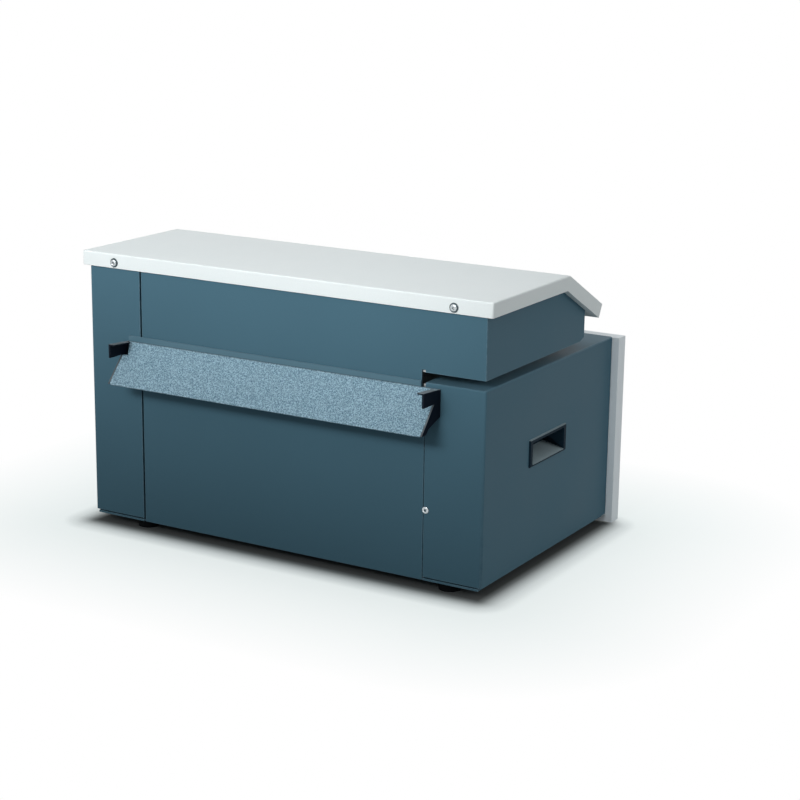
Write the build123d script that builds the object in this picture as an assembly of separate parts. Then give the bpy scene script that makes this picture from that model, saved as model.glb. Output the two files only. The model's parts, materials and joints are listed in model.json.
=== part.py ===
"""Tabletop cardboard perforator.

Carton goes in flat at the back, through the throat under the raised housing.
Toothed rollers slit it, a pair of knife discs trims the surplus at the side,
and the slit mat leaves at the front under the deflector.
Millimetres, +Z up, +Y towards the feed side, the outlet faces -Y.
The origin is on the floor, under the middle of the machine.
"""
import os
from math import atan2, cos, pi, sin, sqrt, tan

from build123d import *

# Overall sizes of the painted housing
body_width = 590.0
body_depth = 354.0
lower_body_height = 247.0
throat_gap = 12.0
housing_height = 94.0
housing_depth = 266.0

# Sheet metal
sheet = 2.0
frame_plate = 3.0
seat = 0.3
cover_bend = 3.0

# How far a cut runs past a face, and how near an edge has to lie to be picked
past = 1.0
near = 0.01

# Side covers and the seams between the panels
cover_wrap = 82.0
left_seam = 2.5
right_seam = 0.8
cover_lift = 1.5

# Lead-in at the back of the raised housing, notch at the front where the trimmed strip leaves
lead_in_length = 12.0
lead_in_rise = 4.0
notch_width = 5.0
notch_relief = 3.0

# Lid
lid_sheet = 1.5
lid_lip = 19.0
lid_front_overhang = 3.5
lid_side_overhang = 9.0
lid_ridge = 199.0
lid_rear_overhang = 32.5
lid_rear_drop = 53.0
lid_corner = 2.5
lid_edge = 2.0

# Base and feet
base_plate = 2.5
base_rim = 14.0
base_inset = 4.5
foot_height = 11.0
foot_diameter = 28.0
foot_from_left = 74.0
foot_from_right = 53.5
foot_from_front = 19.0
foot_from_back = 28.0

# Rollers
roller_from_front = 130.0
roller_end_room = 8.0
roller_clearance = 2.4
window_margin = 1.2
disc_radius = 30.0
disc_root = 24.5
disc_thickness = 7.0
disc_pitch = 21.0
disc_teeth = 6
disc_overlap = 3.0
tooth_ramp = 0.12
tooth_land = 0.46
shaft_diameter = 22.0
shaft_hexagon = 10.5
shaft_end = 1.0
knife_radius = 31.0
knife_thickness = 3.0
knife_side_room = 1.2
knife_bevel = 1.5

# Outlet guide and deflector
outlet_drop = 44.0
front_panel_fold = 14.0
deflector_sheet = 2.0
deflector_from_side = 63.0
deflector_flange = 7.5
deflector_reach = 44.5
deflector_fall = 49.0
deflector_below_table = 5.5
deflector_corner = 3.0
bracket_sheet = 2.5
bracket_reach = 41.0
bracket_bar = 18.5
bracket_rise = 3.0
bracket_flange = 6.5
bracket_flange_end = 7.0
bracket_toe = 11.0
bracket_heel = 17.0
bracket_heel_rise = 6.0
bracket_root = 15.0

# Recessed handles
handle_length = 102.0
handle_height = 36.5
handle_opening_length = 87.0
handle_opening_height = 28.0
handle_from_front = 168.5
handle_level = 141.0
handle_rim_rise = 1.0
handle_depth = 30.0
handle_proud = 2.0
handle_wall = 2.5
handle_corner = 2.5
handle_pocket_corner = 1.5
handle_floor_rise = 7.5

# White panel on the feed side
rear_panel_depth = 22.0
rear_panel_overhang = 10.0
rear_panel_drop = 10.0
rear_panel_sheet = 1.5
rear_panel_return = 18.0
rear_panel_edge = 3.0
rear_panel_below_table = 1.0

# Switch and mains inlet
switch_width = 30.0
switch_height = 22.0
switch_rim = 2.0
switch_proud = 3.0
switch_from_right = 70.0
switch_below_table = 60.0
inlet_width = 31.0
inlet_height = 24.0
inlet_proud = 2.5
inlet_depth = 19.0
inlet_from_back = 60.0
inlet_level = 50.0
pin_pitch = 7.0
pin_low = 1.5
earth_pin_rise = 4.0
pin_width = 2.0
pin_height = 4.0

# Planes that the panels share
overall_depth = deflector_reach + body_depth + seat + rear_panel_depth + switch_rim + switch_proud
left = -body_width / 2
right = body_width / 2
front = deflector_reach - overall_depth / 2
back = front + body_depth
bottom = foot_height + base_plate
table = bottom + lower_body_height
ceiling = table + throat_gap
housing_top = ceiling + housing_height
housing_back = front + housing_depth
lid_top = housing_top + seat + lid_sheet

left_seam_x = left + cover_wrap
right_seam_x = right - cover_wrap
inner_left = left_seam_x + frame_plate
inner_right = right_seam_x - frame_plate
apron_end = right_seam_x - notch_width
deflector_half_width = body_width / 2 - deflector_from_side

roller_y = front + roller_from_front
nip = table + throat_gap / 2
lower_axis = nip - disc_radius + disc_overlap / 2
upper_axis = nip + disc_radius - disc_overlap / 2
knife_x = right_seam_x + seat
roller_room = disc_radius + roller_clearance
knife_room = knife_radius + roller_clearance


def block(x0, x1, y0, y1, z0, z1):
    """A rectangular block between two corners."""
    centre = Pos((x0 + x1) / 2, (y0 + y1) / 2, (z0 + z1) / 2)
    return centre * Box(x1 - x0, y1 - y0, z1 - z0)


def side_prism(points, x0, x1):
    """An outline in Y and Z, carried along X."""
    outline = Plane.YZ.offset(x0) * Polyline(*points, close=True)
    return extrude(make_face(outline), amount=x1 - x0, dir=(1, 0, 0))


def front_prism(points, y0, y1):
    """An outline in X and Z, carried along Y."""
    outline = Plane.XZ.offset(-y0) * Polyline(*points, close=True)
    return extrude(make_face(outline), amount=y1 - y0, dir=(0, 1, 0))


def rod(radius, x0, x1, y, z):
    """A round bar along X."""
    return Pos((x0 + x1) / 2, y, z) * Rot(0, 90, 0) * Cylinder(radius, x1 - x0)


def folded_strip(points, thickness, x0, x1):
    """A sheet that follows a bent line in Y and Z, to the left of its direction."""
    inner = offset_line(points, thickness)
    return side_prism(points + inner[::-1], x0, x1)


def offset_line(points, distance):
    """The bent line moved sideways by one distance, with mitred corners."""
    normals = []
    for (y0, z0), (y1, z1) in zip(points, points[1:]):
        length = sqrt((y1 - y0) ** 2 + (z1 - z0) ** 2)
        normals.append((-(z1 - z0) / length, (y1 - y0) / length))
    moved = []
    for index, (y, z) in enumerate(points):
        before = normals[max(index - 1, 0)]
        after = normals[min(index, len(normals) - 1)]
        scale = distance / (1 + before[0] * after[0] + before[1] * after[1])
        moved.append((y + (before[0] + after[0]) * scale, z + (before[1] + after[1]) * scale))
    return moved


def edges_along(shape, axis, **limits):
    """Straight edges along one axis whose centres lie near the given planes."""
    chosen = shape.edges().filter_by(axis)
    for name, value in limits.items():
        chosen = chosen.filter_by(lambda edge, n=name, v=value: abs(getattr(edge.center(), n) - v) < near)
    return chosen


def save(shape, name):
    """Write one node."""
    export_step(shape, f"parts/{name}.step")


# Housing

def roof_outline():
    """Top of a side wall, from the front face to the back of the housing, close under the lid."""
    ridge_y = offset_line(lid_outline()[1:4], -lid_sheet - seat)[1][0]
    return [(front, housing_top), (ridge_y, housing_top), (housing_back, roof_level(housing_back))]


def roof_level(y):
    """Height of the back slope of the roof at one depth."""
    ridge_y = offset_line(lid_outline()[1:4], -lid_sheet - seat)[1][0]
    return housing_top - (y - ridge_y) * tan(lid_slope())


def left_side_cover():
    """Full-height cover of the column that joins the lower body to the raised housing."""
    low = bottom + cover_lift
    wall = [(front, low)] + roof_outline() + [(housing_back, table), (back, table), (back, low)]
    shell = side_prism(wall, left, left_seam_x - left_seam / 2)
    inside = [
        (front + sheet, low - past),
        (front + sheet, housing_top + past),
        (housing_back - sheet, housing_top + past),
        (housing_back - sheet, table - sheet),
        (back - sheet, table - sheet),
        (back - sheet, low - past),
    ]
    shell -= side_prism(inside, left + sheet, left_seam_x)
    shell = fillet(edges_along(shell, Axis.Z, X=left, Y=front), cover_bend)
    shell = fillet(edges_along(shell, Axis.Z, X=left + sheet, Y=front + sheet), cover_bend - sheet)
    return shell - handle_cutout(left) - inlet_cutout()


def right_side_cover():
    """Lower side cover: front flange, side wall, back flange and the strip of table on top."""
    low = bottom + cover_lift
    shell = block(right_seam_x + seat, right, front, back, low, table)
    shell -= block(right_seam_x, right - sheet, front + sheet, back - sheet, low - past, table - sheet)
    shell = fillet(edges_along(shell, Axis.Z, X=right, Y=front), cover_bend)
    shell = fillet(edges_along(shell, Axis.Z, X=right - sheet, Y=front + sheet), cover_bend - sheet)
    shell = fillet(shell.edges().filter_by(Axis.Y).group_by(Axis.Z)[-1].sort_by(Axis.X)[-1], sheet)
    return shell - handle_cutout(right) - knife_slot(table - sheet, table)


def front_panel():
    """Lower front panel between the seams, folded back at the outlet."""
    top = table - outlet_drop
    x0 = left_seam_x + left_seam / 2
    x1 = right_seam_x + seat - right_seam
    panel = block(x0, x1, front, front + sheet, bottom - base_plate, top)
    fold_back = front + front_panel_fold
    fold = block(inner_left + seat, inner_right - seat, front + sheet, fold_back, top - sheet, top)
    return panel + fold


def upper_front_panel():
    """Front of the raised housing, reaching down behind the deflector flange."""
    x0 = left_seam_x + left_seam / 2
    panel = block(x0, right, front, front + sheet, ceiling, housing_top)
    apron = block(x0, apron_end, front, front + sheet, table - deflector_below_table, ceiling)
    y0 = front - past
    y1 = front + sheet + past
    relief = block(apron_end, right_seam_x, y0, y1, ceiling - past, ceiling + notch_relief)
    return panel + apron - relief


def upper_end_panel():
    """End wall of the raised housing, with the roof line and the lead-in at the back."""
    outline = [(front + sheet, ceiling), (front + sheet, housing_top)] + roof_outline()[1:]
    outline += [(housing_back, ceiling + lead_in_rise), (housing_back - lead_in_length, ceiling)]
    return side_prism(outline, right - sheet, right)


def rear_cover_line():
    """Outside of the upper rear cover, from the lead-in up and over the roof to the front."""
    ridge, eave = roof_outline()[1:]
    return [
        (housing_back - lead_in_length, ceiling),
        (housing_back, ceiling + lead_in_rise),
        eave,
        ridge,
        (front + sheet + seat, housing_top),
    ]


def upper_rear_cover():
    """One folded sheet: roof, slope, back wall and the lead-in over the feed table."""
    return folded_strip(rear_cover_line(), sheet, inner_left + seat, right - sheet - seat)


def upper_guide_plate():
    """Ceiling of the throat, with windows for the upper roller and knife."""
    mitre = sheet * sin(atan2(lead_in_rise, lead_in_length))
    plate = block(
        inner_left + seat,
        right - sheet - seat,
        front + sheet + seat,
        housing_back - lead_in_length - mitre - seat,
        ceiling,
        ceiling + sheet,
    )
    return plate - roller_window(ceiling, ceiling + sheet) - knife_slot(ceiling, ceiling + sheet)


def feed_table():
    """Table behind the rollers, level with the side cover's top."""
    room = roller_half_chord()
    return block(inner_left + seat, right_seam_x, roller_y + room, back - sheet - seat, table - sheet, table)


def roller_half_chord():
    """Half the length of the gap that a roller needs in the plate beside it."""
    depth = disc_radius - disc_overlap / 2 - throat_gap / 2 - sheet
    return sqrt(roller_room ** 2 - depth ** 2)


def roller_window(z0, z1):
    """Gap for the discs of one roller."""
    half = roller_half_chord()
    x0 = inner_left + window_margin
    x1 = inner_right - window_margin
    return block(x0, x1, roller_y - half, roller_y + half, z0 - past, z1 + past)


def knife_slot(z0, z1):
    """Gap for the two knife discs."""
    depth = knife_radius - disc_overlap / 2 - throat_gap / 2 - sheet
    half = sqrt(knife_room ** 2 - depth ** 2)
    x0 = right_seam_x - past
    x1 = knife_x + 2 * knife_thickness + knife_side_room
    return block(x0, x1, roller_y - half, roller_y + half, z0 - past, z1 + past)


def outlet_guide():
    """Sloping plate that leads the mat from the rollers down to the front panel."""
    line = [
        (front + sheet + seat, table - outlet_drop + sheet),
        (front + front_panel_fold, table - outlet_drop + sheet),
        (roller_y - roller_half_chord(), table),
    ]
    return folded_strip(line[::-1], sheet, inner_left + seat, inner_right - seat)


# Frame

def left_frame_plate():
    """Plate that closes the column and carries the left ends of the shafts."""
    upper_back = housing_back - sheet - seat
    outline = [
        (front + sheet + seat, bottom + seat),
        (front + sheet + seat, housing_top),
        roof_outline()[1],
        (upper_back, roof_level(upper_back)),
        (upper_back, table),
        (back - sheet - seat, table),
        (back - sheet - seat, bottom + seat),
    ]
    plate = side_prism(outline, left_seam_x, inner_left)
    for axis in (lower_axis, upper_axis):
        plate -= rod(shaft_diameter / 2 + seat, left_seam_x - past, inner_left + past, roller_y, axis)
    return plate


def right_bearing_bore(axis):
    """Bore for the right end of a shaft."""
    return rod(shaft_diameter / 2 + seat, inner_right - past, right_seam_x + past, roller_y, axis)


def lower_frame_plate():
    """Right bearing plate of the lower roller."""
    plate = block(
        inner_right,
        right_seam_x,
        front + sheet + seat,
        back - sheet - seat,
        bottom + seat,
        table - sheet - seat,
    )
    return plate - right_bearing_bore(lower_axis)


def upper_frame_plate():
    """Right bearing plate of the upper roller, inside the raised housing."""
    outline = offset_line(rear_cover_line(), sheet + seat)
    outline.append((front + sheet + seat, ceiling + sheet + seat))
    plate = side_prism(outline, inner_right, right_seam_x)
    return plate - right_bearing_bore(upper_axis)


def base_pan():
    """Shallow tray that closes the underside and carries the feet."""
    x0 = left + base_inset
    x1 = right - base_inset
    y0 = front + sheet + seat
    y1 = back - sheet - seat
    pan = block(x0, x1, y0, y1, bottom - base_plate, bottom)
    rim_left = block(x0, x0 + sheet, y0, y1, bottom, bottom + base_rim)
    rim_right = block(x1 - sheet, x1, y0, y1, bottom, bottom + base_rim)
    front_lip = block(x0, left_seam_x - left_seam / 2, front, y0, bottom - base_plate, bottom)
    right_lip = block(right_seam_x + seat, x1, front, y0, bottom - base_plate, bottom)
    return pan + rim_left + rim_right + front_lip + right_lip


def foot(x, y):
    """Round rubber foot."""
    return Pos(x, y, foot_height / 2) * Cylinder(foot_diameter / 2, foot_height)


# Mechanism

def toothed_outline(phase):
    """Corner points of a toothed disc in Y and Z about its own centre."""
    corners = [
        (0.0, disc_root),
        (tooth_ramp, disc_radius),
        (tooth_ramp + tooth_land, disc_radius),
        (2 * tooth_ramp + tooth_land, disc_root),
    ]
    points = []
    for tooth in range(disc_teeth):
        for share, radius in corners:
            angle = phase + (tooth + share) * 2 * pi / disc_teeth
            points.append((radius * cos(angle), radius * sin(angle)))
    return points


def disc_count():
    """Discs that fit on a roller between the frame plates."""
    free = inner_right - inner_left - 2 * roller_end_room - disc_thickness
    return int(free // disc_pitch) + 1


def perforating_roller(axis, count, tooth_phase):
    """Hexagonal shaft with toothed discs, turned by half a tooth from one to the next."""
    centre_x = (inner_left + inner_right) / 2
    roller = rod(shaft_diameter / 2, left_seam_x, inner_left + seat, roller_y, axis)
    shaft_tip = knife_x + 2 * knife_thickness + shaft_end
    roller += rod(shaft_diameter / 2, inner_right - seat, shaft_tip, roller_y, axis)
    hexagon = Plane.YZ.offset(inner_left) * Pos(roller_y, axis) * RegularPolygon(shaft_hexagon, 6)
    roller += extrude(hexagon, amount=inner_right - inner_left, dir=(1, 0, 0))
    for index in range(count):
        x0 = centre_x + (index - (count - 1) / 2) * disc_pitch - disc_thickness / 2
        phase = tooth_phase + (index % 2) * pi / disc_teeth
        outline = [(roller_y + y, axis + z) for y, z in toothed_outline(phase)]
        roller += side_prism(outline, x0, x0 + disc_thickness)
    return roller


def trim_knife(axis, x0, bevelled_rim):
    """Round knife on the end of a shaft, bevelled on the side away from the other knife."""
    blade = rod(knife_radius, x0, x0 + knife_thickness, roller_y, axis)
    rims = blade.edges().filter_by(GeomType.CIRCLE).sort_by(Axis.X)
    blade = chamfer(rims[bevelled_rim], knife_bevel)
    return blade - rod(shaft_diameter / 2 + seat / 2, x0 - past, x0 + knife_thickness + past, roller_y, axis)


# Deflector

def deflector_line():
    """Front surface of the deflector, from its flange over the bend to its lower edge."""
    bend_z = table - deflector_below_table
    return [
        (front - deflector_sheet, bend_z + deflector_flange),
        (front - deflector_sheet, bend_z),
        (front - deflector_reach, bend_z - deflector_fall),
    ]


def deflector():
    """Sloping sheet over the outlet; its flange ends where the trimmed strip leaves."""
    half = deflector_half_width
    line = deflector_line()
    shell = folded_strip(line, deflector_sheet, -half, half)
    shell -= block(apron_end, half + past, line[0][0] - past, front + past, line[1][1], line[0][1] + past)
    ends = shell.edges().filter_by(lambda edge: abs(abs(edge.center().X) - half) < near)
    short_ends = ends.filter_by(lambda edge: edge.length < deflector_sheet + near)
    return fillet(short_ends.sort_by(Axis.Z)[:2], deflector_corner)


def bracket_outline():
    """Side view of a deflector bracket: a bar above the sheet, a leg under it down to its edge."""
    bend, edge = deflector_line()[1:]
    tip_y = front - bracket_reach
    top_z = bend[1] + bracket_rise
    bar_z = top_z - bracket_bar
    run = (bend[0] - edge[0]) / (bend[1] - edge[1])
    return [
        (front, bend[1]),
        (tip_y, top_z),
        (tip_y, bar_z),
        (bend[0] - (bend[1] - bar_z) * run, bar_z),
        edge,
        (edge[0] + bracket_toe, edge[1]),
        (edge[0] + bracket_heel, edge[1] + bracket_heel_rise),
        (front, edge[1] + bracket_root),
    ]


def deflector_bracket(side):
    """Black end plate of the deflector, with its top edge folded in over the sheet."""
    outline = bracket_outline()
    inner = side * deflector_half_width
    outer = inner + side * bracket_sheet
    plate = side_prism(outline, min(inner, outer), max(inner, outer))
    root, tip = outline[0], outline[1]
    fold = [root, tip, (tip[0], tip[1] - deflector_sheet), (root[0], root[1] - deflector_sheet)]
    fold_edge = inner - side * bracket_flange
    flange = side_prism(fold, min(inner, fold_edge), max(inner, fold_edge))
    x0, x1 = sorted((inner, fold_edge - side * past))
    flange -= block(x0, x1, front - bracket_flange_end, front + past, fold[3][1] - past, tip[1] + past)
    return plate + flange


# Lid

def lid_slope():
    """Angle of the back slope of the lid."""
    return atan2(lid_rear_drop, housing_depth + lid_rear_overhang - lid_ridge)


def lid_outline():
    """Closed outline of the lid in Y and Z: lip, flat top, slope and square back lip."""
    slope = lid_slope()
    rear_y = housing_back + lid_rear_overhang
    rear_z = lid_top - lid_rear_drop
    low_y = rear_y - lid_lip * sin(slope)
    low_z = rear_z - lid_lip * cos(slope)
    lip_z = lid_top - lid_lip
    inner_ridge = low_y - (lip_z - low_z) / tan(slope)
    return [
        (front - lid_front_overhang, lip_z),
        (front - lid_front_overhang, lid_top),
        (front + lid_ridge, lid_top),
        (rear_y, rear_z),
        (low_y, low_z),
        (inner_ridge, lip_z),
    ]


def lid():
    """Folded sheet lid with lips all round, turned in at the sides and the back."""
    outer = lid_outline()
    half = body_width / 2 + lid_side_overhang
    shell = side_prism(outer, -half, half)
    upright = edges_along(shell, Axis.Z, Y=front - lid_front_overhang)
    shell = fillet(upright, lid_corner)
    rims = shell.edges().filter_by(lambda edge: edge.center().Z > lid_top - near)
    shell = fillet(rims, lid_edge)

    slope = lid_slope()
    skin = lid_sheet / cos(slope)
    bend = lid_sheet * tan(slope / 2)
    rear_in = (outer[3][0] - lid_sheet * cos(slope), outer[3][1] + lid_sheet * sin(slope))
    cavity = [
        (outer[0][0] + lid_sheet, outer[0][1] + lid_sheet),
        (outer[1][0] + lid_sheet, lid_top - lid_sheet),
        (outer[2][0] - bend, lid_top - lid_sheet),
        (rear_in[0], rear_in[1] - skin),
        (outer[4][0] - lid_sheet * cos(slope), outer[4][1] + lid_sheet * sin(slope) + skin),
        (outer[5][0] + bend, outer[5][1] + lid_sheet),
    ]
    shell -= side_prism(cavity, -half + lid_sheet, half - lid_sheet)

    mouth_front = outer[0][0] + lid_sheet
    mouth_back = housing_back + seat
    mouth_fall = (mouth_back - outer[5][0]) * tan(slope)
    inside = lid_top - lid_lip / 2
    below = lid_top - 2 * lid_lip
    mouth = [
        (mouth_front, below),
        (mouth_front, inside),
        (outer[5][0], inside),
        (mouth_back, inside - mouth_fall),
        (mouth_back, below - mouth_fall),
        (outer[5][0], below),
    ]
    return shell - side_prism(mouth, left - seat, right + seat)


# White panel on the feed side

def rear_panel():
    """Tray-shaped panel with turned-in edges, hung over the whole feed side."""
    half = body_width / 2 + rear_panel_overhang
    y0 = back + seat
    y1 = y0 + rear_panel_depth
    low = bottom - rear_panel_drop
    high = table - rear_panel_below_table
    tray = block(-half, half, y0, y1, low, high)
    face_edges = tray.faces().sort_by(Axis.Y)[-1].edges()
    tray = fillet(face_edges, rear_panel_edge)
    skin = rear_panel_sheet
    tray -= block(-half + skin, half - skin, y0 + skin, y1 - skin, low + skin, high - skin)
    turned = rear_panel_return
    tray -= block(-half + turned, half - turned, y0 - past, y0 + skin + past, low + turned, high - turned)
    return tray - switch_cutout()


def switch_place():
    """Centre of the switch on the white panel."""
    return right - switch_from_right, table - switch_below_table


def switch_cutout():
    """Opening for the switch body."""
    x, z = switch_place()
    face = back + seat + rear_panel_depth
    w = switch_width / 2 - sheet
    h = switch_height / 2 - sheet
    return block(x - w, x + w, face - rear_panel_sheet - past, face + past, z - h, z + h)


def power_switch():
    """Rocker switch snapped into the white panel."""
    x, z = switch_place()
    face = back + seat + rear_panel_depth
    w = switch_width / 2
    h = switch_height / 2
    rim = block(x - w, x + w, face, face + switch_rim, z - h, z + h)
    rim = fillet(rim.edges().filter_by(Axis.Y), sheet)
    neck = w - sheet - seat
    body_height = h - sheet - seat
    body = block(x - neck, x + neck, face - rear_panel_depth / 2, face, z - body_height, z + body_height)
    rocker = [
        (face + switch_rim, z - body_height),
        (face + switch_rim + switch_proud, z - body_height),
        (face + switch_rim + switch_proud / 3, z),
        (face + switch_rim + switch_proud, z + body_height),
        (face + switch_rim, z + body_height),
    ]
    return rim + body + side_prism(rocker, x - neck + sheet, x + neck - sheet)


def inlet_place():
    """Centre of the mains inlet on the left cover."""
    return back - inlet_from_back, bottom + inlet_level


def inlet_cutout():
    """Opening for the inlet body."""
    y, z = inlet_place()
    w = inlet_width / 2 - sheet
    h = inlet_height / 2 - sheet
    return block(left - past, left + sheet + past, y - w, y + w, z - h, z + h)


def mains_inlet():
    """Appliance inlet with three flat pins in a recess."""
    y, z = inlet_place()
    w = inlet_width / 2
    h = inlet_height / 2
    rim = block(left - inlet_proud, left, y - w, y + w, z - h, z + h)
    rim = fillet(rim.edges().filter_by(Axis.X), sheet)
    neck = w - sheet - seat
    rise = h - sheet - seat
    inlet = rim + block(left, left + inlet_depth, y - neck, y + neck, z - rise, z + rise)
    floor = left + inlet_depth - sheet
    w_in = neck - sheet
    h_in = rise - sheet
    inlet -= block(left - inlet_proud - past, floor, y - w_in, y + w_in, z - h_in, z + h_in)
    earth_z = z - pin_low + earth_pin_rise
    for pin_y, pin_z in ((y - pin_pitch, z - pin_low), (y, earth_z), (y + pin_pitch, z - pin_low)):
        y0 = pin_y - pin_width / 2
        z0 = pin_z - pin_height / 2
        inlet += block(left, floor, y0, y0 + pin_width, z0, z0 + pin_height)
    return inlet


# Recessed handles

def handle_box(side, length, height, x_out, x_in, corner, rise=0.0):
    """Rounded rectangular block at a handle, between two depths from the side face."""
    face = side * body_width / 2
    x0 = face + side * x_out
    x1 = face - side * x_in
    y = front + handle_from_front
    z = bottom + handle_level + rise
    slab = block(min(x0, x1), max(x0, x1), y - length / 2, y + length / 2, z - height / 2, z + height / 2)
    return fillet(slab.edges().filter_by(Axis.X), corner)


def handle_cutout(face_x):
    """Opening in a side cover for the handle tray."""
    side = 1 if face_x > 0 else -1
    clear = 2 * (handle_wall + seat)
    length = handle_opening_length + clear
    height = handle_opening_height + clear
    return handle_box(side, length, height, past, sheet + past, handle_corner)


def recessed_handle(side):
    """Plastic tray with a rim on the cover and a floor that rises towards the back."""
    outer_length = handle_opening_length + 2 * handle_wall
    outer_height = handle_opening_height + 2 * handle_wall
    tray = handle_box(side, outer_length, outer_height, 0, handle_depth, handle_corner)
    tray += handle_box(side, handle_length, handle_height, handle_proud, 0, handle_corner, handle_rim_rise)
    pocket = handle_box(
        side,
        handle_opening_length,
        handle_opening_height,
        handle_proud + past,
        handle_depth - handle_wall,
        handle_pocket_corner,
    )
    y0 = front + handle_from_front - handle_opening_length / 2 - past
    y1 = y0 + handle_opening_length + 2 * past
    floor_z = bottom + handle_level - handle_opening_height / 2
    mouth_x = side * (body_width / 2 + handle_proud)
    deep_x = side * (body_width / 2 - handle_depth + handle_wall)
    floor = [
        (mouth_x, floor_z),
        (deep_x, floor_z + handle_floor_rise),
        (deep_x, floor_z - past),
        (mouth_x, floor_z - past),
    ]
    return tray - (pocket - front_prism(floor, y0, y1))


def main():
    """Build every node and write it."""
    os.makedirs("parts", exist_ok=True)
    save(left_side_cover(), "left_side_cover")
    save(right_side_cover(), "right_side_cover")
    save(front_panel(), "front_panel")
    save(upper_front_panel(), "upper_front_panel")
    save(upper_end_panel(), "upper_end_panel")
    save(upper_rear_cover(), "upper_rear_cover")
    save(upper_guide_plate(), "upper_guide_plate")
    save(feed_table(), "feed_table")
    save(outlet_guide(), "outlet_guide")
    save(left_frame_plate(), "left_frame_plate")
    save(lower_frame_plate(), "lower_frame_plate")
    save(upper_frame_plate(), "upper_frame_plate")
    save(base_pan(), "base_pan")

    foot_columns = {"left": left + foot_from_left, "right": right - foot_from_right}
    foot_rows = {"front": front + foot_from_front, "rear": back - foot_from_back}
    for row, y in foot_rows.items():
        for column, x in foot_columns.items():
            save(foot(x, y), f"foot_{row}_{column}")

    half_tooth = pi / disc_teeth / 2
    save(perforating_roller(lower_axis, disc_count(), 0.0), "lower_perforating_roller")
    save(perforating_roller(upper_axis, disc_count() - 1, half_tooth), "upper_perforating_roller")
    save(trim_knife(lower_axis, knife_x, 0), "lower_trim_knife")
    save(trim_knife(upper_axis, knife_x + knife_thickness + seat, -1), "upper_trim_knife")

    save(deflector(), "deflector")
    save(deflector_bracket(-1), "deflector_bracket_left")
    save(deflector_bracket(1), "deflector_bracket_right")
    save(lid(), "lid")
    save(rear_panel(), "rear_panel")
    save(power_switch(), "power_switch")
    save(mains_inlet(), "mains_inlet")
    save(recessed_handle(-1), "left_handle")
    save(recessed_handle(1), "right_handle")


main()
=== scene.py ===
"""Cardboard perforator: finishes, handles, deflector, screws, floor, lights and camera."""
import json
import math

import bmesh
import bpy
from mathutils import Matrix, Vector


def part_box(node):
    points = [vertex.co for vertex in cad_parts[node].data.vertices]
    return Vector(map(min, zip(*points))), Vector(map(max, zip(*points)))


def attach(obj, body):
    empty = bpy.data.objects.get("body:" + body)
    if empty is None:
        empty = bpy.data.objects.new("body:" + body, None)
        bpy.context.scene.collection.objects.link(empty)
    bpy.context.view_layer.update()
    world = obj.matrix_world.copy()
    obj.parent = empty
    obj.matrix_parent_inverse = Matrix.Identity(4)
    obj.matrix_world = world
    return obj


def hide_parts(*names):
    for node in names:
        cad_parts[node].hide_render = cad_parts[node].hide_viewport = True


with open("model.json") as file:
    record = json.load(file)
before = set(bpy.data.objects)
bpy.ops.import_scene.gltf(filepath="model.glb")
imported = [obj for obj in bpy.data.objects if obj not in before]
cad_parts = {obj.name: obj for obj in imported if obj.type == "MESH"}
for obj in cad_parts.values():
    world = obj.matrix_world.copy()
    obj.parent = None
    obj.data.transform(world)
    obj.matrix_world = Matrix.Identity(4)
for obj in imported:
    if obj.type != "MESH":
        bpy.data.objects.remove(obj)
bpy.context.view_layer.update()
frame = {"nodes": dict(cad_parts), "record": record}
nodes = frame["nodes"]

# Lengths are in metres, powers in watts and turns in radians, unless a name says otherwise
FRONT = (0, -1, 0)
BACK = (0, 1, 0)

# Screws
LID_SCREW_FROM_SIDE = 0.0520
LID_SCREW_BELOW_TOP = 0.0117
LID_SCREW_RADIUS = 0.0044
LID_SCREW_TURNS = (0.9, 0.35)
LID_WASHER_RADIUS = 0.0060
COVER_SCREW_FROM_SEAM = 0.0030
COVER_SCREW_LEVEL = 0.1012
COVER_SCREW_RADIUS = 0.0046
COVER_SCREW_TURN = 0.6
REAR_SCREW_INSET = 0.030
REAR_SCREW_TURN_PER_METRE = 3
WASHER_THICKNESS = 0.0010
ROUND_STEPS = 48
SHOULDER_STEPS = 6

# Shares of a screw head's radius or height, and of a washer's thickness
HEAD_HEIGHT_SHARE = 0.42
HEAD_RIM_SHARE = 0.35
HEAD_CROWN_SHARE = 0.45
RECESS_HALF_LENGTH = 0.58
RECESS_HALF_WIDTH = 0.16
RECESS_DEPTH = 0.45
RECESS_TAPER = 0.45
WASHER_HOLE_SHARE = 0.5
WASHER_CHAMFER_SHARE = 0.4

# Handles
HANDLE_PROUD = 0.0020
HANDLE_TRAY_WALL = 0.0025
HANDLE_END_BAR = 0.0075
HANDLE_TOP_BAR = 0.00525
HANDLE_BOTTOM_BAR = 0.00325
HANDLE_FLOOR_RISE = 0.0075
HANDLE_END_LEAN = 0.0150
HANDLE_BEVEL = 0.0016
HANDLE_MOUTH_BEVEL = 0.0005
HANDLE_RIM_CORNER = 0.0025
HANDLE_MOUTH_CORNER = 0.0015
CORNER_STEPS = 4

# Folded sheet
BEND_RADIUS = 0.0005
BEND_SEGMENTS = 2
BEND_FROM_DEGREES = 35
WELD_DISTANCE = 0.00001
FLAT_WITHIN_DEGREES = 0.2
FOLDED = [
    "left_side_cover",
    "right_side_cover",
    "front_panel",
    "upper_front_panel",
    "upper_end_panel",
    "upper_rear_cover",
    "lid",
    "rear_panel",
    "deflector_bracket_left",
    "deflector_bracket_right",
]

# Deflector
FLANGE_HEIGHT = 0.0075
NOTCH_TOP = 0.0010
NOTCH_BOTTOM = 0.0085
NOTCH_DEPTH = 0.0155
CUTTER_OVERHANG = 0.010
BEND_BLEND = 0.0004
# Painted shade: a dark line along the deflector's bend
BEND_SHADE_WIDTH = 0.0012
BEND_SHADE_TONE = 0.45

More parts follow.
